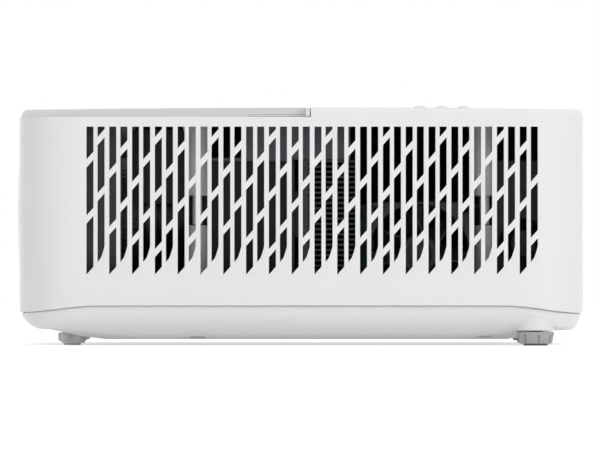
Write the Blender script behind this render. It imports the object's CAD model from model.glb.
import math

import bmesh
import bpy
from mathutils import Matrix, Vector


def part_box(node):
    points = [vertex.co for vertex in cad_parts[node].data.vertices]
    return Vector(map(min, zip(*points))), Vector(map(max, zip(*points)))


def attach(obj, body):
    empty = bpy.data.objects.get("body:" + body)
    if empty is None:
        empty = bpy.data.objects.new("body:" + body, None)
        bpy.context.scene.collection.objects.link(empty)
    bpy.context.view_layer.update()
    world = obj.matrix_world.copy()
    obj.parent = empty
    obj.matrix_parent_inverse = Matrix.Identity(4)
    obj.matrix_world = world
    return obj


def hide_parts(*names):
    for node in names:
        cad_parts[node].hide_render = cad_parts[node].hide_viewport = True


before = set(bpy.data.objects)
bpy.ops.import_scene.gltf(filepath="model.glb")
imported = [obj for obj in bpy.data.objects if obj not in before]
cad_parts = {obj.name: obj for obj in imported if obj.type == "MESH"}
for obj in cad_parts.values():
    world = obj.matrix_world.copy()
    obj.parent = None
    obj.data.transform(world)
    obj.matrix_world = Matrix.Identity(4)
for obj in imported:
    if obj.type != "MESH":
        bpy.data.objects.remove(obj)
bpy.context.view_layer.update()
print("frame loaded")

# The lens looks along -X and the camera along +Y
case = {"frontX": -0.1345, "rearX": 0.1355, "midX": 0.0005, "sideY": 0.1575, "corner": 0.028, "topRound": 0.003,
        "wall": 0.0025, "top": 0.1144, "crownAlong": 0.0010, "crownAcross": 0.0005, "blend": 0.038,
        "sideEdge": 0.01915, "frontEdge": 0.01605, "rearEdge": 0.01555}
lens = {"y": -0.095, "z": 0.06285}
turn = 2 * math.pi


def crown(x, y):
    along = (x - case["midX"]) / 0.135
    return case["top"] - case["crownAlong"] * along ** 2 - case["crownAcross"] * (y / 0.1575) ** 2


# Level along the side, easing to another height near each end
def endEased(x, side, front, rear, frontInset=0, rearInset=0):
    reach, end = x - case["frontX"] - frontInset, front
    if x > case["midX"]:
        reach, end = case["rearX"] - rearInset - x, rear
    share = min(max(1 - reach / case["blend"], 0), 1)
    return side + (end - side) * share * share * (3 - 2 * share)


# Making and finishing pieces

def addBlock(bm, low, high, place=Matrix(), soft=0.0):
    size, middle = Vector(high) - Vector(low), (Vector(high) + Vector(low)) / 2
    made = bmesh.ops.create_cube(bm, size=1, matrix=place @ Matrix.Translation(middle) @ Matrix.Diagonal((*size, 1)))
    if soft:
        softenEdges(bm, soft, made["verts"])
    return made["verts"]


def softenEdges(bm, width, verts=None, least=40, segments=2):
    edges = set(bm.edges) if verts is None else {edge for vert in verts for edge in vert.link_edges}
    sharp = [edge for edge in edges if len(edge.link_faces) == 2
             and edge.calc_face_angle(0) > math.radians(least)]
    bmesh.ops.bevel(bm, geom=sharp, offset=width, offset_type="OFFSET", segments=segments, profile=0.5,
                    affect="EDGES", clamp_overlap=True, material=-1)


def addRod(bm, start, end, radius, endRadius=None, segments=32):
    start, end = Vector(start), Vector(end)
    along = end - start
    place = Matrix.Translation((start + end) / 2) @ along.to_track_quat("Z", "Y").to_matrix().to_4x4()
    made = bmesh.ops.create_cone(bm, cap_ends=True, segments=segments, depth=along.length, matrix=place,
                                 radius1=radius, radius2=radius if endRadius is None else endRadius)
    return made["verts"]


# Spins an outline of (radius, height) about local Z
def addTurned(bm, outline, place=Matrix(), segments=64, closed=False):
    before = set(bm.verts)
    chain = [bm.verts.new((radius, 0, height)) for radius, height in outline]
    pairs = list(zip(chain, chain[1:])) + ([(chain[-1], chain[0])] if closed else [])
    edges = [bm.edges.new(pair) for pair in pairs]
    bmesh.ops.spin(bm, geom=chain + edges, cent=(0, 0, 0), axis=(0, 0, 1), angle=turn, steps=segments, use_merge=True)
    made = [vert for vert in bm.verts if vert not in before]
    bmesh.ops.remove_doubles(bm, verts=made, dist=0.000002)
    made = [vert for vert in bm.verts if vert not in before]
    bmesh.ops.transform(bm, matrix=place, verts=made)
    return made


def addPrism(bm, outline, push):
    face = bm.faces.new([bm.verts.new(point) for point in outline])
    pushed = bmesh.ops.extrude_face_region(bm, geom=[face])["geom"]
    bmesh.ops.translate(bm, verts=[item for item in pushed if isinstance(item, bmesh.types.BMVert)], vec=push)


# A flat face with rounded corners, its long edges cut into shorter ones
def roundedFace(bm, low, high, corner, segments=8, cuts=0):
    size, middle = Vector(high) - Vector(low), (Vector(high) + Vector(low)) / 2
    place = Matrix.Translation((*middle, 0)) @ Matrix.Diagonal((*size, 1, 1))
    made = bmesh.ops.create_grid(bm, x_segments=1, y_segments=1, size=0.5, matrix=place)
    face = made["verts"][0].link_faces[0]
    bmesh.ops.bevel(bm, geom=list(face.verts), offset=corner, offset_type="OFFSET", segments=segments, profile=0.5,
                    affect="VERTICES", clamp_overlap=True, material=-1)
    face = [item for item in bm.faces if len(item.verts) > 4][-1]
    if cuts:
        longEdges = [edge for edge in face.edges if edge.calc_length() > 4 * corner / segments]
        bmesh.ops.subdivide_edges(bm, edges=longEdges, cuts=cuts)
    return face


def toMesh(name, bm):
    mesh = bpy.data.meshes.new(name)
    bm.to_mesh(mesh)
    bm.free()
    return mesh


def newObject(name, bm):
    made = bpy.data.objects.new(name, toMesh(name, bm))
    bpy.context.scene.collection.objects.link(made)
    return made


# Takes the shape its modifiers give
def bake(piece):
    bpy.context.view_layer.update()
    made = bpy.data.meshes.new_from_object(piece.evaluated_get(bpy.context.evaluated_depsgraph_get()))
    piece.modifiers.clear()
    piece.data = made


def carve(piece, bm, operation="DIFFERENCE"):
    bmesh.ops.recalc_face_normals(bm, faces=bm.faces)
    tool = newObject("tool", bm)
    step = piece.modifiers.new("Carve", "BOOLEAN")
    step.operation, step.solver, step.object = operation, "EXACT", tool
    bake(piece)
    bpy.data.objects.remove(tool)
    mesh = bmesh.new()
    mesh.from_mesh(piece.data)
    bmesh.ops.dissolve_degenerate(mesh, dist=1e-6, edges=mesh.edges)
    bmesh.ops.remove_doubles(mesh, verts=mesh.verts, dist=1e-6)
    mesh.to_mesh(piece.data)
    mesh.free()


def finishPiece(piece, body, finishes, replaced=(), sharp=32, edge=0.0):
    if not isinstance(piece, bpy.types.Object):
        name, bm = piece
        bmesh.ops.recalc_face_normals(bm, faces=bm.faces)
        piece = newObject(name, bm)
    if not piece.data.materials:
        for finish in finishes:
            piece.data.materials.append(finish)
    if edge:
        step = piece.modifiers.new("Edges", "BEVEL")
        step.width, step.segments, step.limit_method, step.angle_limit = edge, 2, "ANGLE", math.radians(50)
        step.harden_normals = False
        bake(piece)
    piece.data.shade_smooth()
    piece.data.set_sharp_from_angle(angle=math.radians(sharp))
    if replaced:
        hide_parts(*replaced)
    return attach(piece, body)


# Finishes

# A socket that stands in an expression, each operator adding its Math node
class Wire:
    def __init__(self, shade, socket):
        self.shade, self.socket = shade, socket

    def maths(self, operation, *values):
        return self.shade.node("ShaderNodeMath", {"operation": operation}, dict(enumerate(values)))

    def __add__(self, other):
        return self.maths("ADD", self, other)

    def __radd__(self, other):
        return self.maths("ADD", other, self)

    def __sub__(self, other):
        return self.maths("SUBTRACT", self, other)

    def __rsub__(self, other):
        return self.maths("SUBTRACT", other, self)

    def __mul__(self, other):
        return self.maths("MULTIPLY", self, other)

    def __rmul__(self, other):
        return self.maths("MULTIPLY", other, self)

    def __truediv__(self, other):
        return self.maths("DIVIDE", self, other)

    def __gt__(self, other):
        return self.maths("GREATER_THAN", self, other)

    def __lt__(self, other):
        return self.maths("LESS_THAN", self, other)

    def __abs__(self):
        return self.maths("ABSOLUTE", self)


class Shade:
    def __init__(self, owner):
        owner.use_nodes = True
        self.owner, self.tree = owner, owner.node_tree

    # Adds a node: its settings first, then the values or wires of its sockets
    def node(self, kind, settings=None, sockets=None, output=0):
        made = self.tree.nodes.new(kind)
        for key, value in (settings or {}).items():
            if key == "stops":
                while len(made.color_ramp.elements) < len(value):
                    made.color_ramp.elements.new(1)
                for element, (position, colour) in zip(made.color_ramp.elements, value):
                    element.position, element.color = position, (*colour, 1)
            else:
                setattr(made, key, value)
        for key, value in (sockets or {}).items():
            self.feed(made.inputs[key], value)
        return Wire(self, made.outputs[output])

    def feed(self, socket, value):
        if isinstance(value, Wire):
            self.tree.links.new(value.socket, socket)
        else:
            socket.default_value = (*value, 1) if socket.type == "RGBA" and len(value) == 3 else value

    def spot(self):
        return self.node("ShaderNodeTexCoord", output=3)

    def axes(self, spot):
        parts = self.node("ShaderNodeSeparateXYZ", None, {0: spot})
        return [Wire(self, parts.socket.node.outputs[i]) for i in range(3)]

    def noise(self, spot, scale, detail=2.0, rough=0.5):
        return self.node("ShaderNodeTexNoise", None, {"Vector": spot, "Scale": scale, "Detail": detail,
                                                      "Roughness": rough})

    def mix(self, first, second, share):
        made = self.node("ShaderNodeMix", {"data_type": "RGBA"}, {0: share, 6: first, 7: second}, output=2)
        return made

    def bump(self, height, depth, strength=1.0):
        return self.node("ShaderNodeBump", None, {"Strength": strength, "Distance": depth, "Height": height})

    def surface(self, **sockets):
        shader = self.tree.nodes["Principled BSDF"]
        for key, value in sockets.items():
            self.feed(shader.inputs[key.replace("_", " ")], value)
        return self.owner


def newShade(name):
    return Shade(bpy.data.materials.new(name))


# Moulded plastic: broad drift in tone, a fine spark-eroded grain and a gloss that varies a little
def moulded(name, colour, rough, grain=0.00001, drift=0.03, scale=2600, **extra):
    shade = newShade(name)
    spot = shade.spot()
    broad = shade.noise(spot, 14, 3)
    fine = shade.noise(spot, scale, 2, 0.6)
    darker = [value * (1 - drift) for value in colour]
    return shade.surface(Base_Color=shade.mix(darker, colour, broad),
                         Roughness=rough - 0.03 + 0.06 * shade.noise(spot, 60, 4),
                         Normal=shade.bump(fine, grain, 0.6), **extra)


# Metal: drawn or cast, with a grain along one axis
def metal(name, colour, rough, stretch=(1, 1, 1), scale=900, depth=0.00001, **extra):
    shade = newShade(name)
    spot = shade.node("ShaderNodeMapping", None, {"Vector": shade.spot(), "Scale": stretch})
    grain = shade.noise(spot, scale, 3, 0.6)
    blotch = shade.noise(shade.spot(), 40, 4)
    darker = [value * 0.82 for value in colour]
    return shade.surface(Base_Color=shade.mix(darker, colour, blotch), Metallic=1.0,
                         Roughness=rough - 0.06 + 0.12 * grain, Normal=shade.bump(grain, depth, 0.5), **extra)


caseWhite = moulded("caseWhite", (0.82, 0.82, 0.825), 0.16, 0.000003)
deckWhite = moulded("deckWhite", (0.74, 0.745, 0.75), 0.34, 0.000006)
bellyWhite = moulded("bellyWhite", (0.80, 0.80, 0.805), 0.36, 0.000008)
innerGrey = moulded("innerGrey", (0.075, 0.075, 0.078), 0.60)
postGrey = moulded("postGrey", (0.86, 0.86, 0.87), 0.45)
buttonWhite = moulded("buttonWhite", (0.78, 0.78, 0.785), 0.35)
panelGrey = moulded("panelGrey", (0.55, 0.56, 0.57), 0.50, 0.00003, scale=1400)
footGrey = moulded("footGrey", (0.40, 0.40, 0.405), 0.55, 0.00003, scale=1400)
padRubber = moulded("padRubber", (0.20, 0.20, 0.205), 0.85, 0.00004, 0.2, 1200)
padPale = moulded("padPale", (0.70, 0.70, 0.69), 0.80, 0.00004, 0.05, 1200)
blackPlastic = moulded("blackPlastic", (0.014, 0.014, 0.015), 0.45, 0.00002, 0.1)
darkPlastic = moulded("darkPlastic", (0.052, 0.052, 0.055), 0.55, 0.00003, 0.1)
engineMetal = metal("engineMetal", (0.045, 0.045, 0.048), 0.55, scale=500, depth=0.00006)
shieldMetal = metal("shieldMetal", (0.13, 0.135, 0.15), 0.42, (1, 12, 1))
blackAluminium = metal("blackAluminium", (0.10, 0.10, 0.105), 0.42, (1, 14, 1))
steel = metal("steel", (0.52, 0.52, 0.53), 0.30, (1, 1, 8))
gold = metal("gold", (0.75, 0.55, 0.22), 0.25)
mirrorFinish = metal("mirrorFinish", (0.88, 0.88, 0.86), 0.10, scale=60, depth=0.000002)
filterRed = moulded("filterRed", (0.05, 0.008, 0.012), 0.10, 0.000002)


def coatedGlass(name, tint, rough=0.02):
    shade = newShade(name)
    smudge = shade.noise(shade.spot(), 90, 5, 0.6)
    return shade.surface(Base_Color=shade.mix([value * 0.93 for value in tint], tint, smudge), IOR=1.5,
                         Roughness=rough + 0.03 * smudge, Transmission_Weight=0.92, Coat_Weight=0.6,
                         Coat_Tint=(0.65, 0.72, 1.0, 1), Coat_Roughness=0.03)


lensGlass = coatedGlass("lensGlass", (0.86, 0.90, 0.97))
clearGlass = coatedGlass("clearGlass", (0.93, 0.94, 0.93), 0.05)


# Circuit board: lacquer over copper runs that turn at right angles
def boardFinish(name, dark, light, copper):
    shade = newShade(name)
    spot = shade.spot()
    x, y, z = shade.axes(spot)
    lanes = shade.node("ShaderNodeTexVoronoi", {"distance": "CHEBYCHEV", "feature": "F1"},
                       {"Vector": spot, "Scale": 210.0})
    run = (lanes > 0.32) * (lanes < 0.46)
    speck = shade.noise(spot, 300, 3)
    lacquer = shade.mix(dark, light, speck)
    return shade.surface(Base_Color=shade.mix(lacquer, copper, run), Roughness=0.35 + 0.1 * speck,
                         Normal=shade.bump(run, 0.00004, 0.7))


boardGreen = boardFinish("boardGreen", (0.012, 0.085, 0.04), (0.02, 0.13, 0.06), (0.05, 0.22, 0.09))
boardBlack = boardFinish("boardBlack", (0.010, 0.012, 0.011), (0.018, 0.020, 0.019), (0.035, 0.036, 0.034))


# Colour wheel: six coated glass segments round its axle
def wheelFinish():
    shade = newShade("wheelGlass")
    x, y, z = shade.axes(shade.spot())
    angle = shade.node("ShaderNodeMath", {"operation": "ARCTAN2"}, {0: z - 0.0655, 1: x + 0.0287})
    share = angle / turn + 0.5
    colours = ((0.75, 0.06, 0.05), (0.80, 0.70, 0.05), (0.07, 0.55, 0.12), (0.75, 0.75, 0.72), (0.06, 0.55, 0.65),
               (0.06, 0.10, 0.65))
    stops = [(number / 6, colour) for number, colour in enumerate(colours)]
    ramp = shade.node("ShaderNodeValToRGB", {"stops": stops}, {0: share})
    ramp.socket.node.color_ramp.interpolation = "CONSTANT"
    return shade.surface(Base_Color=ramp, Roughness=0.08 + 0.04 * shade.noise(shade.spot(), 120), Coat_Weight=0.5)


wheelGlass = wheelFinish()
print("finishes made")

# Upper case

grille = {"width": 0.00335, "pitch": 0.0109, "shortStart": 0.0053, "top": 0.10475, "longTip": 0.03395,
          "shortTip": 0.0400, "shortRound": 0.0076, "slope": 1.138, "period": 0.02678, "bridge": 0.00385,
          "first": 0.0890, "shift": 0.4, "depth": 0.012, "leastFoot": 0.005,
          "leastHead": 0.002}


# Upright slots in pairs, long and short, each crossed by slanted bridges; x across, z up, pushed along y
def addGrille(bm, pairs, place):
    width, slope = grille["width"], grille["slope"]
    for number in range(2 * pairs):
        start = number // 2 * grille["pitch"] + (grille["shortStart"] if number % 2 else 0)
        if number % 2:
            tip, reach = grille["shortTip"], grille["shortRound"]
            foot = [(0, tip)] + [(width * (share ** 0.55), tip + reach * share) for share in (0.25, 0.42, 0.6, 0.8, 1)]
        else:
            foot = [(0, grille["longTip"]), (width, grille["longTip"] + slope * width)]
        outline = foot + [(width, grille["top"]), (0, grille["top"])]
        slot = bmesh.new()
        slot.faces.new([slot.verts.new((across, 0, height)) for across, height in outline])
        first = grille["first"] + number * grille["shift"] * grille["period"]
        first -= math.ceil((first - grille["longTip"]) / grille["period"]) * grille["period"]
        for step in range(5):
            low = first + step * grille["period"]
            for height in (low, low - grille["bridge"]):
                bmesh.ops.bisect_plane(slot, geom=slot.verts[:] + slot.edges[:] + slot.faces[:],
                                       plane_co=(0, 0, height), plane_no=(-slope, 0, 1), dist=0.000001)
        gone = []
        # No bridge stands close to the foot or the top
        for face in slot.faces:
            middle = face.calc_center_median()
            level = middle.z - slope * middle.x
            upper = level + (first - level) % grille["period"]
            if (upper - level < grille["bridge"] and upper - grille["bridge"] > foot[0][1] + grille["leastFoot"]
                    and upper < grille["top"] - grille["leastHead"]):
                gone.append(face)
        bmesh.ops.delete(slot, geom=gone, context="FACES")
        pushed = bmesh.ops.extrude_face_region(slot, geom=slot.faces[:])["geom"]
        bmesh.ops.translate(slot, verts=[item for item in pushed if isinstance(item, bmesh.types.BMVert)],
                            vec=(0, grille["depth"], 0))
        bmesh.ops.transform(slot, matrix=place @ Matrix.Translation((start, -grille["depth"] / 2, 0)), verts=slot.verts)
        mesh = toMesh("slot", slot)
        bm.from_mesh(mesh)
        bpy.data.meshes.remove(mesh)


# A loop of edges round the plan, its corners rounded and its straight sides cut into short lengths
def planLoop(bm, low, high, corner, cuts=(30, 22)):
    size, middle = Vector(high) - Vector(low), (Vector(high) + Vector(low)) / 2
    made = bmesh.ops.create_grid(bm, x_segments=1, y_segments=1, size=0.5,
                                 matrix=Matrix.Translation((*middle, 0)) @ Matrix.Diagonal((*size, 1, 1)))
    bmesh.ops.bevel(bm, geom=made["verts"], offset=corner, offset_type="OFFSET", segments=14, profile=0.5,
                    affect="VERTICES", clamp_overlap=True, material=-1)
    bmesh.ops.delete(bm, geom=bm.faces[:], context="FACES_ONLY")
    for axis in (0, 1):
        straight = [edge for edge in bm.edges if abs(edge.verts[0].co[axis] - edge.verts[1].co[axis]) > 0.05]
        bmesh.ops.subdivide_edges(bm, edges=straight, cuts=cuts[axis])
    return list(bm.verts)


def ringPoints(front, rear, side, corner, height):
    bm = bmesh.new()
    loop = planLoop(bm, (case["frontX"] + front, side - case["sideY"]), (case["rearX"] - rear, case["sideY"] - side),
                    corner)
    points = [Vector((vert.co.x, vert.co.y, height(vert.co.x, vert.co.y))) for vert in loop]
    bm.free()
    return points


# Rings of the plan, each with its insets, corner and height, pulled out one from the other
def ringedShell(rings, closed=False, inner=None):
    bm = bmesh.new()
    loop = planLoop(bm, (-0.1, -0.1), (0.1, 0.1), 0.02)
    for vert, point in zip(loop, ringPoints(*rings[0])):
        vert.co = point
    if closed:
        bmesh.ops.contextual_create(bm, geom=bm.edges[:])
    edges = list(bm.edges)
    for number, ring in enumerate(rings[1:]):
        pulled = bmesh.ops.extrude_edge_only(bm, edges=edges)["geom"]
        copies = {tuple(item.co): item for item in pulled if isinstance(item, bmesh.types.BMVert)}
        edges = [item for item in pulled if isinstance(item, bmesh.types.BMEdge)]
        for face in {face for edge in edges for face in edge.link_faces}:
            face.material_index = 1 if inner is not None and number >= inner else 0
        loop = [copies[tuple(vert.co)] for vert in loop]
        for vert, point in zip(loop, ringPoints(*ring)):
            vert.co = point
    cap = bmesh.ops.contextual_create(bm, geom=edges)["faces"]
    cap[0].material_index = 0 if inner is None else 1
    return bm


def crownTop(bm, step=0.012):
    level = [face for face in bm.faces if len(face.verts) > 40]
    for axis, reach in ((0, 0.135), (1, 0.1575)):
        place = -reach + step
        while place < reach:
            faces = [face for face in bm.faces if len(face.verts) > 4 or face in level]
            geom = list({item for face in faces for item in (*face.verts, *face.edges, face)})
            at = [0, 0, 0]
            at[axis] = place
            way = [0, 0, 0]
            way[axis] = 1
            bmesh.ops.bisect_plane(bm, geom=geom, plane_co=at, plane_no=way, dist=0.000001)
            place += step
    for vert in bm.verts:
        if vert.co.z > 0.105 and all(abs(face.normal.z) > 0.9 for face in vert.link_faces):
            vert.co.z = crown(vert.co.x, vert.co.y)


def upperRings():
    edge = lambda lift: lambda x, y: endEased(x, case["sideEdge"], case["frontEdge"], case["rearEdge"]) + lift
    rings = [(0.0004, 0.0004, 0.0004, 0.0276, edge(0)), (0, 0, 0, 0.028, edge(0.0004))]
    rings.append((0, 0, 0, 0.028, lambda x, y: 0.030))
    round = case["topRound"]
    for step in range(7):
        angle = step / 6 * turn / 4
        inset, drop = round * (1 - math.cos(angle)), round * (1 - math.sin(angle))
        rings.append((inset, inset, inset, 0.028 - inset, lambda x, y, drop=drop: crown(x, y) - drop))
    return rings


def coverOutline(grow):
    return (-0.028 - 0.046 - grow, 0.062 - 0.042 - grow), (-0.028 + 0.046 + grow, 0.062 + 0.042 + grow), 0.006 + grow


def panelOutline(grow):
    return (-0.058 - grow, 0.034 - grow), (0.122 + grow, 0.096 + grow), 0.003 + grow


# A rounded outline pushed along local z
def addRoundedPrism(bm, low, high, corner, start, end, place=Matrix(), segments=6):
    made = bmesh.new()
    face = roundedFace(made, low, high, corner, segments)
    pushed = bmesh.ops.extrude_face_region(made, geom=[face])["geom"]
    bmesh.ops.translate(made, verts=[item for item in pushed if isinstance(item, bmesh.types.BMVert)],
                        vec=(0, 0, end - start))
    bmesh.ops.transform(made, matrix=place @ Matrix.Translation((0, 0, start)), verts=made.verts)
    mesh = toMesh("prism", made)
    bm.from_mesh(mesh)
    bpy.data.meshes.remove(mesh)


# Local x, y, z laid along the world's y, z, x
acrossRear = Matrix(((0, 0, 1, 0), (1, 0, 0, 0), (0, 1, 0, 0), (0, 0, 0, 1)))
buttons = {"x": 0.0681, "y": -0.082, "pitch": 0.0104, "radius": 0.0038, "proud": 0.0011, "lightX": 0.0445}
buttonPlaces = [(buttons["x"] + i * buttons["pitch"], buttons["y"] + j * buttons["pitch"])
                for j in (-1, 0, 1) for i in (-1, 0, 1)]
lightPlaces = [(buttons["lightX"], buttons["y"] + j * buttons["pitch"]) for j in (-1, 0, 1)]


def makeUpperCase():
    bm = ringedShell(upperRings())
    bmesh.ops.recalc_face_normals(bm, faces=bm.faces)
    crownTop(bm)
    piece = newObject("upperCase", bm)
    piece.data.materials.append(caseWhite)
    piece.data.materials.append(innerGrey)
    wall = piece.modifiers.new("Wall", "SOLIDIFY")
    wall.thickness, wall.offset, wall.use_even_offset, wall.material_offset = case["wall"], -1, True, 1
    bake(piece)
    tool = bmesh.new()
    addBlock(tool, (-0.1395, -0.1625, 0.1094), (0.0050, -0.0400, 0.1200))
    addRod(tool, (-0.1395, lens["y"], lens["z"]), (-0.1280, lens["y"], lens["z"]), 0.0365, segments=96)
    for x, y in buttonPlaces:
        addRod(tool, (x, y, 0.105), (x, y, 0.120), 0.0041)
    for x, y in lightPlaces:
        addRod(tool, (x, y, 0.105), (x, y, 0.120), 0.0013, segments=16)
    addRod(tool, (-0.1395, -0.0295, 0.095), (-0.1300, -0.0295, 0.095), 0.0058, segments=48)
    addRoundedPrism(tool, *coverOutline(0.0003), 0.105, 0.120)
    addRoundedPrism(tool, *panelOutline(0.0003), 0.128, 0.140, acrossRear)
    carve(piece, tool)
    tool = bmesh.new()
    addGrille(tool, 20, Matrix.Translation((-0.1022, -0.1575, 0)))
    addGrille(tool, 9, Matrix.Translation((-0.1022, 0.1575, 0)))
    addGrille(tool, 6, Matrix.Translation((-0.1345, 0.0025, 0)) @ Matrix.Rotation(turn / 4, 4, "Z"))
    carve(piece, tool)
    return finishPiece(piece, "case", (), ("upper_case",), edge=0.00025)


makeUpperCase()


def underside(x, y):
    return crown(x, y) - case["wall"]


posts = [(x, y) for x in (-0.0493, 0.0883) for y in (-0.132, 0.132)]
coverUnder = underside(-0.074, 0.104)
keypadUnder = underside(0.0785, -0.0924)
keypadTop = keypadUnder - 0.0036


# Post that hangs down, with a spigot at its end and three gussets at its root
def addPost(bm, x, y, root):
    addTurned(bm, [(0, root), (0.0053, root), (0.0053, 0.0720), (0.0050, 0.0717), (0.0023, 0.0717), (0.0023, 0.0582),
                   (0.0019, 0.0578), (0, 0.0578)], Matrix.Translation((x, y, 0)), 40)
    for number in range(3):
        place = Matrix.Translation((x, y, 0)) @ Matrix.Rotation((number + 0.25) * turn / 3, 4, "Z")
        made = bmesh.new()
        addPrism(made, [(0.0050, -0.0006, root), (0.0090, -0.0006, root), (0.0050, -0.0006, root - 0.010)],
                 (0, 0.0012, 0))
        bmesh.ops.transform(made, matrix=place, verts=made.verts)
        mesh = toMesh("gusset", made)
        bm.from_mesh(mesh)
        bpy.data.meshes.remove(mesh)


def makeUpperFittings():
    bm = bmesh.new()
    for x, y in posts[1:]:
        addPost(bm, x, y, underside(x, y) + 0.0005)
    reach = 0.0154
    for i in (-1, 1):
        for j in (-1, 1):
            x, y = buttons["x"] + i * reach, buttons["y"] + j * reach
            addRod(bm, (x, y, keypadTop + 0.0003), (x, y, keypadUnder + 0.0005), 0.0025)
    finishPiece(("upperPosts", bm), "case", (postGrey,))
    # Shroud that closes the slots which the exhaust fan doesn't reach
    bm = bmesh.new()
    addPrism(bm, [(x, 0.1495, z) for x, z in ((-0.1065, 0.03245), (-0.0398, 0.03245), (-0.0398, 0.0955),
                                              (0.0372, 0.0955), (0.0372, 0.1114), (-0.1065, 0.1114))], (0, 0.0025, 0))
    bmesh.ops.bisect_plane(bm, geom=bm.verts[:] + bm.edges[:] + bm.faces[:], plane_co=(0, 0, 0.0677),
                           plane_no=(0, 0, 1), dist=0.000001)
    for face in bm.faces:
        face.material_index = 1 if face.calc_center_median().z < 0.0677 else 0
    finishPiece(("fanShroud", bm), "case", (innerGrey, blackPlastic))
    bm = bmesh.new()
    addRoundedPrism(bm, *coverOutline(0.004), coverUnder - 0.0029, coverUnder + 0.0006)
    piece = newObject("coverFrame", bm)
    piece.data.materials.append(caseWhite)
    bm = bmesh.new()
    addRoundedPrism(bm, *coverOutline(0.0003), coverUnder - 0.0003, 0.120)
    carve(piece, bm)
    bm = bmesh.new()
    addRoundedPrism(bm, *coverOutline(-0.004), 0.100, 0.120)
    carve(piece, bm)
    finishPiece(piece, "case", (), edge=0.0002)


makeUpperFittings()
print("upper case made")


# Lamp cover: a crowned plate with a row of grip grooves and two catches
def makeLampCover():
    low, high, corner = coverOutline(0)
    bm = bmesh.new()
    roundedFace(bm, low, high, corner, 10)
    for axis in (0, 1):
        for number in range(1, 14):
            at, way = [0, 0, 0], [0, 0, 0]
            at[axis], way[axis] = low[axis] + (high[axis] - low[axis]) * number / 14, 1
            bmesh.ops.bisect_plane(bm, geom=bm.verts[:] + bm.edges[:] + bm.faces[:], plane_co=at, plane_no=way,
                                   dist=0.000001)
    for vert in bm.verts:
        vert.co.z = crown(vert.co.x, vert.co.y)
    pushed = bmesh.ops.extrude_face_region(bm, geom=bm.faces[:])["geom"]
    bmesh.ops.translate(bm, verts=[item for item in pushed if isinstance(item, bmesh.types.BMVert)],
                        vec=(0, 0, -case["wall"]))
    bmesh.ops.recalc_face_normals(bm, faces=bm.faces)
    piece = newObject("lampCover", bm)
    piece.data.materials.append(caseWhite)
    tool = bmesh.new()
    for number in range(6):
        x = low[0] + 0.006 + number * 0.0024
        addRod(tool, (x, 0.050, crown(x, 0.050) + 0.0003), (x, 0.074, crown(x, 0.074) + 0.0003), 0.0007, segments=16)
    carve(piece, tool)
    finishPiece(piece, "lamp_lid", (), ("lamp_cover",), edge=0.0004)


makeLampCover()
print("lamp cover made")


# Lens deck: lowered floor with a back wall and a rear wall, and the near front post
def makeLensDeck():
    top, bottom, wall = 0.1091, 0.1071, 0.0020
    lowX, lowY, highX, highY = -0.1317, -0.1547, 0.0047, -0.0403
    corner = 0.0252
    arc = [(lowX + corner * (1 - math.sin(a)), lowY + corner * (1 - math.cos(a)))
           for a in (step / 16 * turn / 4 for step in range(17))]
    bm = bmesh.new()
    addPrism(bm, [(x, y, bottom) for x, y in arc + [(lowX, highY), (highX, highY), (highX, lowY)]],
             (0, 0, top - bottom))
    bmesh.ops.recalc_face_normals(bm, faces=bm.faces)
    piece = newObject("lensDeck", bm)
    piece.data.materials.append(deckWhite)

    def edged(end, height, steps=6):
        angles = [step / steps * turn / 4 for step in range(steps + 1)]
        return [(end + 0.003 * (1 - math.cos(a)), height - 0.003 * (1 - math.sin(a))) for a in angles]

    middle = (top + bottom) / 2
    frontEnd, nearEnd = case["frontX"] + 0.0006, -case["sideY"] + 0.0006
    back = [(lowX + 0.001, middle), (lowX + 0.001, 0.1097), (frontEnd, 0.1097)]
    back += edged(frontEnd, crown(case["frontX"], -0.040))
    back += [(x / 1000, crown(x / 1000, -0.040)) for x in range(-120, 1, 12)]
    back += [(highX - 0.001, crown(highX, -0.040)), (highX - 0.001, middle)]
    bm = bmesh.new()
    addPrism(bm, [(x, highY - wall, z) for x, z in back], (0, wall - 0.0001, 0))
    carve(piece, bm, "UNION")
    side = [(lowY + 0.001, middle), (lowY + 0.001, 0.1097), (nearEnd, 0.1097)]
    side += edged(nearEnd, crown(0.005, -0.1575))
    side += [(y / 1000, crown(0.005, y / 1000)) for y in range(-148, -50, 12)]
    side += [(highY - wall / 2, crown(0.005, -0.040)), (highY - wall / 2, middle)]
    bm = bmesh.new()
    addPrism(bm, [(highX - wall, y, z) for y, z in side], (wall - 0.0001, 0, 0))
    carve(piece, bm, "UNION")
    bm = bmesh.new()
    addRoundedPrism(bm, (-0.0975, -0.112), (-0.0695, -0.078), 0.0025, 0.100, 0.115)
    carve(piece, bm)
    # Guide grooves beside the zoom window and fine steps at the foot of the back wall
    bm = bmesh.new()
    for y in (-0.1165, -0.0735):
        addRod(bm, (-0.0975, y, top + 0.0002), (-0.0695, y, top + 0.0002), 0.0005, segments=12)
    carve(piece, bm)
    finishPiece(piece, "case", (), ("lens_deck",), edge=0.0003)
    bm = bmesh.new()
    for height, proud in ((0.1107, 0.0008), (0.1116, 0.0005)):
        addBlock(bm, (-0.0250, highY - wall - proud, height - 0.0002), (0.0035, highY - wall + 0.0002, height + 0.0002))
    addBlock(bm, (0.0032, highY - wall - 0.0009, top - 0.0002), (0.0049, highY - wall + 0.0002, 0.1142), soft=0.0002)
    addPost(bm, *posts[0], bottom + 0.0005)
    finishPiece(("deckPost", bm), "case", (postGrey,))


makeLensDeck()
print("lens deck made")

# Bottom case

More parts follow.
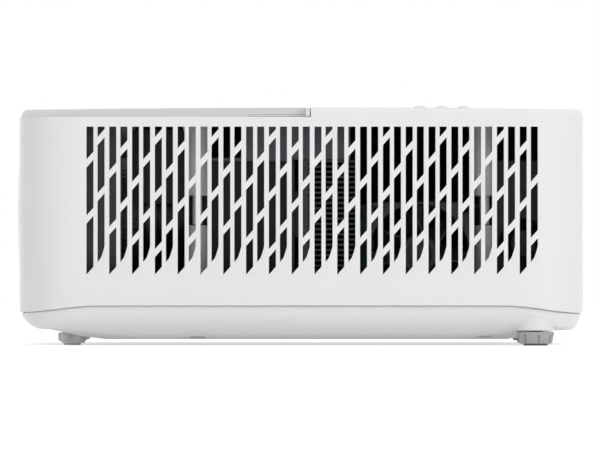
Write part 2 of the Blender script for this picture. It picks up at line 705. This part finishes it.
belly = {
    "side": ((0.0021, 0.01875), (0.0026, 0.01615), (0.0042, 0.01285), (0.0073, 0.00965), (0.0120, 0.00685),
             (0.0190, 0.00475), (0.0280, 0.00345), (0.0360, 0.00295)),
    "front": ((0.0010, 0.01565), (0.0015, 0.01405), (0.0032, 0.01165), (0.0058, 0.00955), (0.0090, 0.00805),
              (0.0150, 0.00765), (0.0300, 0.00435), (0.0410, 0.00295)),
    "rear": ((0.0010, 0.01515), (0.0016, 0.01325), (0.0024, 0.01125), (0.0036, 0.00905), (0.0052, 0.00745),
             (0.0130, 0.00725), (0.0280, 0.00455), (0.0360, 0.00295)),
    "corner": (0.0265, 0.0255, 0.0215, 0.0145, 0.0080, 0.0050, 0.0045, 0.0045)}
frontFeet = [(-0.1095, -0.1025), (-0.1095, 0.1025)]
rearFeet = [(0.1126, -0.1453), (0.1126, 0.1453)]


# Ring of the belly, a depth under the skin; a broken index lies between two rows
def bellyRing(index, depth=0.0):
    first = min(int(index), 6)
    share = index - first
    rows = {}
    for key in ("side", "front", "rear"):
        (inset, height), (nextInset, nextHeight) = belly[key][first], belly[key][first + 1]
        rows[key] = inset + (nextInset - inset) * share, height + (nextHeight - height) * share
    corner = belly["corner"][first] + (belly["corner"][first + 1] - belly["corner"][first]) * share
    slant = index / 7 * turn / 4
    front, rear, side = (rows[key][0] + depth * math.cos(slant) for key in ("front", "rear", "side"))
    lift = depth * math.sin(slant)
    return front, rear, side, corner, lambda x, y: lift + endEased(x, rows["side"][1], rows["front"][1],
                                                                  rows["rear"][1], front, rear)


def lipRing(inset, drop):
    return inset, inset, inset, 0.028 - inset, lambda x, y: endEased(
        x, case["sideEdge"], case["frontEdge"], case["rearEdge"], inset, inset) - drop


def makeBottomCase():
    outer = [bellyRing(index) for index in (7, 6.5, 6, 5.5, 5, 4.5, 4, 3.5, 3, 2.5, 2, 1.5, 1, 0.4, 0)]
    inner = [bellyRing(index, 0.0022) for index in (1, 3, 5, 7)]
    lip = [lipRing(0.0029, 0.0006), lipRing(0.0029, -0.0024), lipRing(0.0031, -0.0026), lipRing(0.0047, -0.0026)]
    bm = ringedShell(outer + lip + inner, True, len(outer) + 2)
    bmesh.ops.recalc_face_normals(bm, faces=bm.faces)
    piece = newObject("bottomCase", bm)
    piece.data.materials.append(bellyWhite)
    piece.data.materials.append(innerGrey)

    # Filling over the wells, kept under the skin
    bm = bmesh.new()
    for x, y in rearFeet:
        addRod(bm, (x, y, -0.004), (x, y, 0.0100), 0.0147, segments=48)
    for x, y in frontFeet:
        addRod(bm, (x, y, -0.004), (x, y, 0.0100), 0.0094)
    for x, y in posts:
        addRod(bm, (x, y, -0.004), (x, y, 0.0130), 0.0060)
    for x in (-0.0645, 0.0655):
        for y in (-0.070, 0.070):
            addRod(bm, (x, y, -0.004), (x, y, 0.01515), 0.0050)
    for x, y, depth in ((-0.0348, 0.124, 0.025), (0.0292, 0.124, 0.025), (0.0398, -0.1440, 0.0075),
                        (0.0738, -0.1440, 0.0075)):
        addBlock(bm, (x - 0.004, y, -0.004), (x + 0.004, y + depth, 0.0182))
    filling = newObject("filling", bm)
    core = ringedShell([bellyRing(index, 0.0011) for index in range(7, -1, -1)], True)
    carve(filling, core, "INTERSECT")
    bm = bmesh.new()
    bm.from_mesh(filling.data)
    bpy.data.objects.remove(filling)
    carve(piece, bm, "UNION")
    bm = bmesh.new()
    for x, y in rearFeet:
        addTurned(bm, [(0, 0.0072), (0.0089, 0.0072), (0.0092, 0.0075), (0.0092, 0.0134), (0.0088, 0.0138), (0, 0.0138)],
                  Matrix.Translation((x, y, 0)), 64)
    for x, y in posts:
        addRod(bm, (x, y, 0.0115), (x, y, 0.0575), 0.0053, segments=40)
    carve(piece, bm, "UNION")
    bm = bmesh.new()
    steep = (0.0131 - 0.0092) / (0.0069 - 0.00295)
    for x, y in rearFeet:
        addRod(bm, (x, y, -0.001), (x, y, 0.0069), 0.0131 + steep * 0.00395, 0.0092, segments=64)
    for x, y in frontFeet:
        addRod(bm, (x, y, -0.004), (x, y, 0.0072), 0.0078, segments=48)
    for x, y in posts:
        addRod(bm, (x, y, -0.004), (x, y, 0.0110), 0.0040)
    carve(piece, bm)
    bm = bmesh.new()
    for x, y in rearFeet + frontFeet:
        addRod(bm, (x, y, -0.003), (x, y, 0.0175), 0.0030, segments=40)
    for x, y in posts:
        addRod(bm, (x, y, 0.0100), (x, y, 0.0620), 0.0018, segments=24)
    for x in (-0.0645, 0.0655):
        for y in (-0.070, 0.070):
            addRod(bm, (x, y, -0.004), (x, y, 0.01195), 0.0018, segments=24)
    carve(piece, bm)
    piece = finishPiece(piece, "case", (), ("bottom_case",), edge=0.0002)
    even = piece.modifiers.new("Even", "WEIGHTED_NORMAL")
    even.keep_sharp, even.weight = True, 100


makeBottomCase()
print("bottom case made")

# Lens

lensPlace = Matrix.Translation((case["frontX"], lens["y"], lens["z"])) @ Matrix.Rotation(-turn / 4, 4, "Y")


# Outline of (radius, depth behind the front face) turned round the lens axis
def addLensTurned(bm, outline, segments=128, closed=True):
    return addTurned(bm, [(radius, -depth) for radius, depth in outline], lensPlace, segments, closed)


# Presses a turned piece in between its ribs: every second pair of points, where the radius and depth allow
def ribbed(bm, least, start, end, depth, segments):
    back = lensPlace.inverted()
    for vert in bm.verts:
        local = back @ vert.co
        radius = math.hypot(local.x, local.y)
        number = round(math.atan2(local.y, local.x) / turn * segments) % 4
        if radius > least and start < -local.z < end and number < 2:
            share = (radius - depth) / radius
            vert.co = lensPlace @ Vector((local.x * share, local.y * share, local.z))


def glassOutline(radius, start, edge, bulge, steps=12):
    front = [(radius * step / steps, start - bulge * (1 - (step / steps) ** 2)) for step in range(steps + 1)]
    back = [(radius * step / steps, start + edge + bulge * (1 - (step / steps) ** 2)) for step in range(steps, -1, -1)]
    return front + back


def makeLens():
    bm = bmesh.new()
    addLensTurned(bm, [(0.0351, 0.0), (0.0360, 0.0), (0.0362, 0.0002), (0.0362, 0.0100), (0.0246, 0.0100),
                       (0.0246, 0.0082), (0.0248, 0.0080), (0.0304, 0.0080), (0.0310, 0.0076), (0.0322, 0.0052),
                       (0.0323, 0.0048), (0.0348, 0.0004)])
    finishPiece(("lensBezel", bm), "case", (deckWhite,), ("lens_bezel",))

    bm = bmesh.new()
    mouth, rim = 0.0182, 0.029
    dome = []
    for step in range(19):
        radius = mouth + 0.0003 + (rim - 0.0004 - mouth - 0.0003) * step / 18
        dome.append((radius, -0.001 * (1 - (radius / rim) ** 2) / (1 - (mouth / rim) ** 2)))
    throat = [(0.0155, 0.0087), (0.0155, 0.0077)]
    for step in range(5):
        share = step / 5
        radius, depth = 0.0155 + 0.0027 * share, 0.0077 - 0.0087 * share
        throat += [(radius + 0.0003, depth - 0.0002), (radius + 0.0003, depth - 0.0012)]
    skirt = [(0.0290, 0.0006), (0.0290, 0.0060), (0.0287, 0.0065), (0.0240, 0.0065), (0.0240, 0.0170),
             (0.0170, 0.0170), (0.0170, 0.0087)]
    addLensTurned(bm, throat + [(mouth, -0.0008)] + dome + [(rim - 0.0001, 0.0002)] + skirt, 240)
    ribbed(bm, 0.0286, 0.0004, 0.0062, 0.0005, 240)
    for face in bm.faces:
        local = lensPlace.inverted() @ face.calc_center_median()
        face.material_index = 1 if math.hypot(local.x, local.y) < mouth - 0.0001 or local.z < -0.0064 else 0
    finishPiece(("focusRing", bm), "focus", (caseWhite, blackPlastic), ("focus_ring",))

    bm = bmesh.new()
    addLensTurned(bm, glassOutline(0.0167, 0.0092, 0.0045, 0.0016), 96, False)
    finishPiece(("frontLens", bm), "focus", (lensGlass,), ("front_lens",))
    bm = bmesh.new()
    addLensTurned(bm, glassOutline(0.0137, 0.0720, 0.0040, 0.0015), 96, False)
    finishPiece(("rearLens", bm), "case", (lensGlass,), ("rear_lens",))

    bm = bmesh.new()
    trap = []
    for step in range(24, 0, -1):
        depth = 0.0173 + step * 0.0021
        trap += [(0.0180, depth), (0.0184, depth - 0.0018)]
    addLensTurned(bm, [(0.0184, 0.0173), (0.0268, 0.0173), (0.0270, 0.0175), (0.0270, 0.0297), (0.0267, 0.0300),
                       (0.0240, 0.0300), (0.0240, 0.0600), (0.0277, 0.0600), (0.0280, 0.0603), (0.0280, 0.0657),
                       (0.0277, 0.0660), (0.0200, 0.0660), (0.0200, 0.0812), (0.0197, 0.0815), (0.0140, 0.0815),
                       (0.0140, 0.0700), (0.0180, 0.0700)] + trap, 96)
    finishPiece(("lensBarrel", bm), "case", (blackPlastic,), ("lens_barrel",))

    bm = bmesh.new()
    addLensTurned(bm, [(0.0245, 0.0440), (0.0273, 0.0440), (0.0275, 0.0442), (0.0275, 0.0460), (0.0275, 0.0560),
                       (0.0275, 0.0578), (0.0273, 0.0580), (0.0245, 0.0580)], 240)
    ribbed(bm, 0.0272, 0.0450, 0.0570, 0.0004, 240)
    leverX, leverY = -0.0835, lens["y"]
    addBlock(bm, (leverX - 0.0040, leverY - 0.0025, 0.0893), (leverX + 0.0040, leverY + 0.0025, 0.1066), soft=0.0005)
    top = [(-0.0057, 0.1092)]
    for number in range(5):
        middle = -0.0040 + number * 0.0020
        top += [(middle - 0.0004, 0.1092), (middle - 0.0002, 0.1089), (middle + 0.0002, 0.1089), (middle + 0.0004, 0.1092)]
    outline = [(-0.0058, 0.1062), (-0.0060, 0.1066), (-0.0060, 0.1090)] + top + [
        (0.0057, 0.1092), (0.0060, 0.1090), (0.0060, 0.1066), (0.0058, 0.1062)]
    addPrism(bm, [(leverX + x, leverY - 0.0025, z) for x, z in outline], (0, 0.0050, 0))
    finishPiece(("zoomRing", bm), "zoom", (darkPlastic,), ("zoom_ring",))


makeLens()
print("lens made")


# Buttons, status lights and the infrared window

def makeControls():
    for number, (x, y) in enumerate(buttonPlaces, 1):
        bm = bmesh.new()
        top = crown(x, y) + buttons["proud"]
        flange = keypadUnder - 0.0003
        outline = [(0.0038 * share, top - 0.0016 * share ** 2.6) for share in (0, 0.2, 0.35, 0.5, 0.62, 0.72, 0.81, 0.89,
                                                                               0.95, 1)]
        outline += [(0.0038, flange), (0.0045, flange), (0.0045, flange - 0.0010), (0, flange - 0.0010)]
        addTurned(bm, outline, Matrix.Translation((x, y, 0)), 48)
        finishPiece((f"button{number}", bm), f"key_{number}", (buttonWhite,), (f"button_{number}",))
    bm = bmesh.new()
    x, y = buttons["lightX"], buttons["y"]
    reach = buttons["pitch"] + 0.0008
    addBlock(bm, (x - 0.0008, y - reach, keypadTop + 0.0003), (x + 0.0008, y + reach, keypadTop + 0.0019), soft=0.0002)
    for x, y in lightPlaces:
        top = crown(x, y)
        addTurned(bm, [(0, top), (0.0007, top - 0.00005), (0.0011, top - 0.0003), (0.0012, top - 0.0006),
                       (0.0012, keypadTop + 0.0008), (0, keypadTop + 0.0008)], Matrix.Translation((x, y, 0)), 32)
    finishPiece(("statusLights", bm), "case", (clearGlass,), ("status_lights",))
    bm = bmesh.new()
    place = Matrix.Translation((case["frontX"], -0.0295, 0.095)) @ Matrix.Rotation(-turn / 4, 4, "Y")
    addTurned(bm, [(0, 0), (0.0030, -0.00003), (0.0046, -0.0001), (0.0052, -0.0003), (0.0055, -0.0006),
                   (0.0055, -0.0022), (0, -0.0022)], place, 64)
    finishPiece(("irWindow", bm), "case", (filterRed,), ("ir_window",))


makeControls()
print("controls made")


# Feet

def makeFoot(name, x, y, rear):
    place = Matrix.Translation((x, y, 0))
    radius = 0.0058 if rear else 0.0040
    bm = bmesh.new()
    addTurned(bm, [(0, 0.0016), (radius, 0.0016), (radius, 0.0003), (radius - 0.0003, 0), (radius * 0.8, 0),
                   (radius * 0.76, 0.0002), (radius * 0.7, 0.0002), (radius * 0.66, 0), (radius * 0.4, 0),
                   (radius * 0.36, 0.0002), (radius * 0.3, 0.0002), (radius * 0.26, 0), (0, 0)], place, 64)
    finishPiece((f"{name}Pad", bm), f"{name}_foot", (padRubber if rear else padPale,), (f"{name}_foot_pad",))
    bm = bmesh.new()
    stem = [(0, 0.0185), (0.0021, 0.0185), (0.0025, 0.0181)]
    thread = []
    for step in range(11):
        height = 0.0178 - step * 0.0010
        thread += [(0.0025, height), (0.0022, height - 0.0005)]
    room = radius + 0.0003
    if rear:
        addTurned(bm, stem + thread + [(0.0025, 0.0066), (0.0086, 0.0066), (0.0090, 0.0062), (0.00800, 0.0014),
                                       (0.00765, 0.0010), (0.0073, 0.0009), (room, 0.0009), (room, 0.0019),
                                       (0, 0.0019)], place, 96)
        piece = newObject(f"{name}Knob", bm)
        piece.data.materials.append(footGrey)
        tool = bmesh.new()
        capsule = [(0.0006 * math.sin(a), 0.0048 + 0.0006 * math.cos(a)) for a in (step / 6 * turn / 4 for step in range(7))]
        for number in range(8):
            angle = (number + 0.213) * turn / 8
            reach = Matrix.Rotation(angle, 4, "Z") @ Matrix.Translation((0.0078, 0, 0)) @ Matrix.Rotation(
                math.radians(11.4), 4, "Y") @ Matrix.Diagonal((1.5, 1, 1, 1))
            addTurned(tool, capsule + [(0.0006, -0.002), (0, -0.002)], place @ reach, 16)
        carve(piece, tool)
        return finishPiece(piece, f"{name}_foot_screw", (), (f"{name}_foot_knob",))
    addTurned(bm, stem + thread[:18] + [(0.0025, 0.0066), (0.0048, 0.0066), (0.0050, 0.0064), (0.0050, 0.0012),
                                        (0.0047, 0.0009), (room, 0.0009), (room, 0.0019), (0, 0.0019)], place, 64)
    piece = newObject(f"{name}Knob", bm)
    piece.data.materials.append(bellyWhite)
    tool = bmesh.new()
    for number in range(5):
        angle = (number + 0.25) * turn / 5
        centre = Matrix.Translation((x + 0.0046 * math.cos(angle), y + 0.0046 * math.sin(angle), 0))
        low = [(0.0025 * math.sin(a), 0.0028 - 0.0013 * math.cos(a)) for a in (step / 6 * turn / 4 for step in range(7))]
        addTurned(tool, low + [(0.0025, 0.0056), (0.0021, 0.0060), (0, 0.0060)], centre, 32)
    carve(piece, tool, "UNION")
    bm = bmesh.new()
    addRod(bm, (x, y, -0.002), (x, y, 0.0019), room, segments=64)
    carve(piece, bm)
    return finishPiece(piece, f"{name}_foot_screw", (), (f"{name}_foot_knob",))


for name, places, rear in (("front", frontFeet, False), ("rear", rearFeet, True)):
    for near, (x, y) in zip(("near", "far"), places):
        makeFoot(f"{name}_{near}", x, y, rear)
print("feet made")


# Case screws: pan heads with a cross recess, and a thread along the shank
def makeScrews():
    for number in range(1, 5):
        low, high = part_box(f"case_screw_{number}")
        x, y = (low[0] + high[0]) / 2, (low[1] + high[1]) / 2
        outline = [(0, 0.0407), (0.0008, 0.0407)]
        for step in range(28):
            outline += [(0.0014, 0.0398 - step * 0.0010), (0.0011, 0.0393 - step * 0.0010)]
        outline += [(0.0014, 0.0112), (0.0014, 0.0107), (0.0028, 0.0107), (0.0029, 0.0105), (0.0028, 0.0096),
                    (0.0025, 0.0090), (0.0019, 0.0086), (0.0010, 0.0085), (0, 0.0085)]
        bm = bmesh.new()
        addTurned(bm, outline, Matrix.Translation((x, y, 0)), 32)
        piece = newObject(f"caseScrew{number}", bm)
        piece.data.materials.append(steel)
        for angle in (0.3, 0.3 + turn / 4):
            tool = bmesh.new()
            addBlock(tool, (-0.0017, -0.0003, 0.0080), (0.0017, 0.0003, 0.0097),
                     Matrix.Translation((x, y, 0)) @ Matrix.Rotation(angle, 4, "Z"))
            carve(piece, tool)
        finishPiece(piece, "case", (), (f"case_screw_{number}",))


makeScrews()
print("screws made")


# Rear panel and its sockets: x is depth, the outer face at the rear

rear = {"face": 0.1347, "panel": 0.0020, "seat": 0.0679, "hdmi": (0.0620, 0.0380), "usb": 0.0150,
        "jacks": (-0.0200, -0.0310), "jackZ": 0.0719, "inletY": 0.100, "inletZ": 0.050}
hdmiOutline = [(-0.0075, 0.0056), (0.0075, 0.0056), (0.0075, 0.0023), (0.0060, 0.0), (-0.0060, 0.0), (-0.0075, 0.0023)]
usbOutline = [(-0.0066, 0.0060), (0.0066, 0.0060), (0.0066, 0.0), (-0.0066, 0.0)]


def inset(outline, by):
    middle = sum(z for y, z in outline) / len(outline)
    return [(y - math.copysign(by, y), z - math.copysign(by, z - middle)) for y, z in outline]


# A folded sheet-metal shell, open at the rear, with a tongue and its contacts
def makeSocket(name, node, y, outline, depth, tongue, contacts):
    face, seat = rear["face"], rear["seat"]
    bm = bmesh.new()
    addPrism(bm, [(face - depth, y + across, seat + up) for across, up in outline], (depth, 0, 0))
    softenEdges(bm, 0.0003)
    piece = newObject(f"{name}Shell", bm)
    piece.data.materials.append(steel)
    tool = bmesh.new()
    addPrism(tool, [(face - depth + 0.001, y + across, seat + up) for across, up in inset(outline, 0.0005)],
             (depth + 0.001, 0, 0))
    carve(piece, tool)
    # Spring fingers pressed out of the sheet
    tool = bmesh.new()
    for side in (-0.0030, 0.0030):
        for start, end in ((side - 0.0012, side - 0.0010), (side + 0.0010, side + 0.0012)):
            addBlock(tool, (face - 0.0070, y + start, seat - 0.001), (face - 0.0020, y + end, seat + 0.008))
    carve(piece, tool)
    finishPiece(piece, "case", (), (node,))
    half, low, high = tongue
    bm = bmesh.new()
    addBlock(bm, (face - depth + 0.0005, y - half, seat + low), (face - 0.0010, y + half, seat + high), soft=0.0002)
    finishPiece((f"{name}Tongue", bm), "case", (blackPlastic,))
    count, pitch, level = contacts
    bm = bmesh.new()
    for number in range(count):
        middle = y + (number - (count - 1) / 2) * pitch
        addBlock(bm, (face - depth + 0.0020, middle - pitch * 0.28, seat + level - 0.0001),
                 (face - 0.0016, middle + pitch * 0.28, seat + level + 0.0001))
    finishPiece((f"{name}Contacts", bm), "case", (gold,))


def makeRearPanel():
    bm = bmesh.new()
    addRoundedPrism(bm, *panelOutline(0), rear["face"] - rear["panel"], rear["face"], acrossRear, 8)
    piece = newObject("rearPanel", bm)
    piece.data.materials.append(panelGrey)
    tool = bmesh.new()
    ends = (rear["face"] - 0.004, rear["face"] + 0.002)
    for y, width, low, height in (*((y, 0.0150, rear["seat"], 0.0056) for y in rear["hdmi"]),
                                  (rear["usb"], 0.0132, rear["seat"], 0.0060), (rear["inletY"], 0.0272, 0.040, 0.020),
                                  (rear["inletY"], 0.0064, 0.0853, 0.0024)):
        addRoundedPrism(tool, (y - width / 2 - 0.0003, low - 0.0003), (y + width / 2 + 0.0003, low + height + 0.0003),
                        0.0006, *ends, acrossRear, 3)
    for y in rear["jacks"]:
        addRod(tool, (ends[0], y, rear["jackZ"]), (ends[1], y, rear["jackZ"]), 0.0033, segments=48)
    carve(piece, tool)
    # Shallow bays round the two rows of sockets
    tool = bmesh.new()
    for low, high in (((-0.0400, 0.0640), (0.0740, 0.0780)), ((0.0840, 0.0375), (0.1160, 0.0625))):
        addRoundedPrism(tool, low, high, 0.0015, rear["face"] - 0.0004, rear["face"] + 0.002, acrossRear, 4)
    carve(piece, tool)
    finishPiece(piece, "case", (), ("rear_panel",), edge=0.00015)


def makeJacks():
    bm = bmesh.new()
    addBlock(bm, (0.1204, -0.0350, 0.0679), (0.1324, -0.0160, 0.0759), soft=0.0003)
    piece = newObject("audioJacks", bm)
    piece.data.materials.append(blackPlastic)
    tool = bmesh.new()
    for y in rear["jacks"]:
        addRod(tool, (0.1227, y, rear["jackZ"]), (0.1400, y, rear["jackZ"]), 0.0018)
    carve(piece, tool)
    finishPiece(piece, "case", (), ("audio_jacks",))
    sleeves, rings = bmesh.new(), bmesh.new()
    for y in rear["jacks"]:
        place = Matrix.Translation((rear["face"], y, rear["jackZ"])) @ Matrix.Rotation(turn / 4, 4, "Y")
        addTurned(sleeves, [(0.0018, -0.0004), (0.0022, 0), (0.0028, 0), (0.0030, -0.0002), (0.0030, -0.0030),
                            (0.0018, -0.0030)], place, 48, closed=True)
        addTurned(rings, [(0.0015, -0.0046), (0.0016, -0.0050), (0.0018, -0.0052), (0.0018, -0.0040)], place, 32,
                  closed=True)
    finishPiece(("jackSleeves", sleeves), "case", (blackPlastic,))
    finishPiece(("jackContacts", rings), "case", (gold,))


# Mains inlet: a room with two cut corners and three flat pins
def makeInlet():
    face, y, z = rear["face"], rear["inletY"], rear["inletZ"]
    bm = bmesh.new()
    addRoundedPrism(bm, (y - 0.0136, z - 0.010), (y + 0.0136, z + 0.010), 0.0015, face - 0.022, face, acrossRear, 4)
    piece = newObject("acInlet", bm)
    piece.data.materials.append(blackPlastic)
    room = [(-0.0122, -0.0086), (0.0122, -0.0086), (0.0122, 0.0045), (0.0081, 0.0086), (-0.0081, 0.0086),
            (-0.0122, 0.0045)]
    tool = bmesh.new()
    addPrism(tool, [(face - 0.017, y + across, z + up) for across, up in room], (0.019, 0, 0))
    carve(piece, tool)
    finishPiece(piece, "case", (), ("ac_inlet",), edge=0.0002)
    bm = bmesh.new()
    for across, up in ((-0.007, -0.0035), (0.007, -0.0035), (0, 0.0004)):
        addBlock(bm, (face - 0.018, y + across - 0.001, z + up - 0.002), (face - 0.005, y + across + 0.001, z + up + 0.002),
                 soft=0.0005)
    finishPiece(("inletPins", bm), "case", (steel,))


makeRearPanel()
for number, y in enumerate(rear["hdmi"], 1):
    makeSocket(f"hdmi{number}", f"hdmi_socket_{number}", y, hdmiOutline, 0.012, (0.0055, 0.0021, 0.0035),
               (10, 0.0010, 0.0035))
makeSocket("usb", "usb_socket", rear["usb"], usbOutline, 0.014, (0.0051, 0.0031, 0.0049), (4, 0.0024, 0.0031))
makeJacks()
makeInlet()
print("rear panel made")


# Fans, made about the origin with local Z as the air's way out

def makeFan(name, node, body, size, depth, place):
    place = Matrix.Translation(place) @ Matrix.Rotation(-turn / 4, 4, "X")
    half, throat = size / 2, size / 2 - 0.0016
    hub, tip = throat * 0.42, throat - 0.0022
    bm = bmesh.new()
    addRoundedPrism(bm, (-half, -half), (half, half), 0.004, -depth / 2, depth / 2, segments=6)
    piece = newObject(f"{name}Frame", bm)
    piece.data.materials.append(blackPlastic)
    # Between the flanges only the round duct is left
    bm = bmesh.new()
    addBlock(bm, (-half - 0.002, -half - 0.002, -depth / 2 + 0.0035), (half + 0.002, half + 0.002, depth / 2 - 0.0035))
    waist = newObject("waist", bm)
    bm = bmesh.new()
    addRod(bm, (0, 0, -depth), (0, 0, depth), half - 0.0002, segments=96)
    carve(waist, bm)
    bm = bmesh.new()
    bm.from_mesh(waist.data)
    bpy.data.objects.remove(waist)
    carve(piece, bm)
    bm = bmesh.new()
    flare = 0.0012
    addTurned(bm, [(0, -depth / 2 - 0.001), (throat + flare, -depth / 2 - 0.001), (throat + flare * 0.5, -depth / 2 + 0.001),
                   (throat, -depth / 2 + 0.004), (throat, depth / 2 - 0.003), (throat + flare * 0.6, depth / 2 + 0.001),
                   (0, depth / 2 + 0.001)], Matrix(), 96)
    carve(piece, bm)
    bm = bmesh.new()
    bore = half - 0.0044 * size / 0.08 - 0.0004
    for i in (-1, 1):
        for j in (-1, 1):
            addRod(bm, (i * bore, j * bore, -depth), (i * bore, j * bore, depth), 0.0019, segments=24)
    carve(piece, bm)
    bm = bmesh.new()
    for number in range(4):
        addBlock(bm, (hub - 0.002, -0.0014, depth / 2 - 0.0020), (throat + 0.0006, 0.0014, depth / 2 - 0.0002),
                 Matrix.Rotation(number * turn / 4, 4, "Z"))
    addTurned(bm, [(0, depth / 2 - 0.0001), (hub - 0.0006, depth / 2 - 0.0001), (hub, depth / 2 - 0.0006),
                   (hub, depth / 2 - 0.0020), (0, depth / 2 - 0.0020)], Matrix(), 64)
    carve(piece, bm, "UNION")
    piece.data.transform(place)
    finishPiece(piece, "case", (), (f"{node}_frame",), edge=0.0002)

    low, high = -depth / 2 + 0.0010, depth / 2 - 0.0027
    bm = bmesh.new()
    addTurned(bm, [(0, low + 0.0002), (hub - 0.0016, low), (hub - 0.0005, low + 0.0004), (hub, low + 0.0014),
                   (hub, high), (0, high)], Matrix(), 64)
    # Dished face of the hub
    piece = newObject(f"{name}Hub", bm)
    piece.data.materials.append(blackPlastic)
    bm = bmesh.new()
    addRod(bm, (0, 0, low - 0.001), (0, 0, low + 0.0008), hub * 0.62, segments=64)
    carve(piece, bm)
    piece.data.transform(place)
    finishPiece(piece, body, (), (f"{node}_rotor",), edge=0.0002)
    # Blades: twisted and cambered, their tips trimmed to the throat
    middle, tall = (low + high) / 2, (high - low) * 0.76
    bm = bmesh.new()
    for number in range(7):
        made = bmesh.ops.create_grid(bm, x_segments=10, y_segments=10, size=0.5)["verts"]
        for vert in made:
            out, chord = vert.co.x + 0.5, vert.co.y * 2
            radius = hub - 0.0006 + (tip - hub + 0.0006 - 0.0022 * chord ** 4) * out
            pitch = math.radians(47 - 15 * out)
            shift = -math.tan(pitch) * chord * tall / 2 + 0.0018 * (1 - chord * chord) * (0.4 + out)
            angle = shift / radius + number * turn / 7
            vert.co = (radius * math.cos(angle), radius * math.sin(angle), middle + chord * tall / 2)
    piece = newObject(f"{name}Blades", bm)
    piece.data.materials.append(blackPlastic)
    shell = piece.modifiers.new("Thick", "SOLIDIFY")
    shell.thickness, shell.offset = 0.0010, 0
    bake(piece)
    piece.data.transform(place)
    finishPiece(piece, body, (), edge=0.00015)


makeFan("exhaust", "exhaust_fan", "exhaust_rotor", 0.080, 0.025, (-0.0028, 0.1365, 0.0585))
makeFan("intake", "intake_fan", "intake_rotor", 0.050, 0.015, (0.0568, -0.144, 0.0435))
print("fans made")

# Inner parts that keep the CAD's form
for finish, nodes in ((engineMetal, "engine_housing"), (shieldMetal, "engine_cover"), (blackAluminium, "dmd_heatsink"),
                      (boardGreen, "main_board power_board keypad_board"), (boardBlack, "dmd_board"), (wheelGlass, "color_wheel"),
                      (clearGlass, "integrator_rod lamp_burner"), (mirrorFinish, "lamp_reflector"),
                      (darkPlastic, "color_wheel_motor lamp_housing"), (innerGrey, "air_baffle"),
                      (blackPlastic, "blower_housing blower_wheel speaker")):
    for node in nodes.split():
        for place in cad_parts[node].material_slots:
            place.material = finish
print("inner parts finished")


# Camera and light: the photograph looks at the side from far away, level with the middle
camera = bpy.data.objects.new("Camera", bpy.data.cameras.new("Camera"))
scene = bpy.context.scene
scene.collection.objects.link(camera)
camera.location, camera.rotation_euler = (-0.00012, -10.3548, 0.0577), (turn / 4, 0, 0)
camera.data.lens, camera.data.sensor_width, camera.data.clip_end = 1280, 36, 60
scene.camera = camera
scene.view_settings.view_transform = "Standard"

studio = {"ambient": 0.76, "flags": 0.6, "floor": (0.86, 0.86, 0.86)}


def softbox(name, place, target, width, height, watts):
    lamp = bpy.data.lights.new(name, "AREA")
    lamp.shape, lamp.size, lamp.size_y, lamp.energy = "RECTANGLE", width, height, watts
    made = bpy.data.objects.new(name, lamp)
    made.location = place
    made.rotation_euler = (Vector(target) - Vector(place)).to_track_quat("-Z", "Y").to_euler()
    made.visible_glossy = False
    scene.collection.objects.link(made)


# White where the camera, a reflection or glass sees it; where it lights the object it dims toward both ends
world = bpy.data.worlds.new("Studio")
scene.world = world
sky = Shade(world)
path = sky.node("ShaderNodeLightPath").socket.node.outputs
seen = sky.node("ShaderNodeMath", {"operation": "MAXIMUM"},
                {0: Wire(sky, path["Is Camera Ray"]), 1: Wire(sky, path["Is Glossy Ray"])})
seen = sky.node("ShaderNodeMath", {"operation": "MAXIMUM"}, {0: seen, 1: Wire(sky, path["Is Transmission Ray"])})
sky.tree.nodes["Background"].inputs["Color"].default_value = (1, 1, 1, 1)
side = sky.axes(sky.node("ShaderNodeTexCoord", output=0))[0]
ambient = studio["ambient"] * (1 - studio["flags"] * side * side)
sky.feed(sky.tree.nodes["Background"].inputs["Strength"], ambient + (1 - ambient) * seen)

softbox("keyRight", (1.30, -1.50, 0.95), (0.05, 0, 0.05), 0.9, 0.9, 11.5)
softbox("fillLeft", (-1.30, -1.60, 0.80), (0, 0, 0.05), 0.8, 0.8, 2.4)
softbox("topLight", (0.0, 0.1, 1.60), (0, 0, 0), 1.4, 1.4, 4.4)


def makeFloor():
    bm = bmesh.new()
    bmesh.ops.create_grid(bm, x_segments=1, y_segments=1, size=6)
    floor = newObject("floor", bm)
    shade = newShade("floorPaper")
    nodes = shade.tree.nodes
    mottle = shade.noise(shade.spot(), 3, 3)
    paper = shade.mix((0.84, 0.84, 0.84), (0.88, 0.88, 0.88), mottle)
    shade.surface(Base_Color=paper, Roughness=0.9, Emission_Color=(1, 1, 1))
    rays = shade.node("ShaderNodeLightPath").socket.node.outputs
    shown = Wire(shade, rays["Is Camera Ray"])
    for name in ("Is Glossy Ray", "Is Transmission Ray"):
        shown = shade.node("ShaderNodeMath", {"operation": "MAXIMUM"}, {0: shown, 1: Wire(shade, rays[name])})
    glow = shade.node("ShaderNodeEmission", None, {"Color": (1, 1, 1), "Strength": 0.35 * shown + 0.12})
    both = shade.node("ShaderNodeAddShader", None, {0: Wire(shade, nodes["Principled BSDF"].outputs[0]), 1: glow})
    # Seen from below it lets the camera through to the belly
    clear = shade.node("ShaderNodeBsdfTransparent")
    below = Wire(shade, shade.node("ShaderNodeNewGeometry").socket.node.outputs["Backfacing"])
    shown = shade.node("ShaderNodeMixShader", None, {0: below, 1: both, 2: clear})
    shade.tree.links.new(shown.socket, nodes["Material Output"].inputs["Surface"])
    floor.data.materials.append(shade.owner)


makeFloor()
print("studio set")
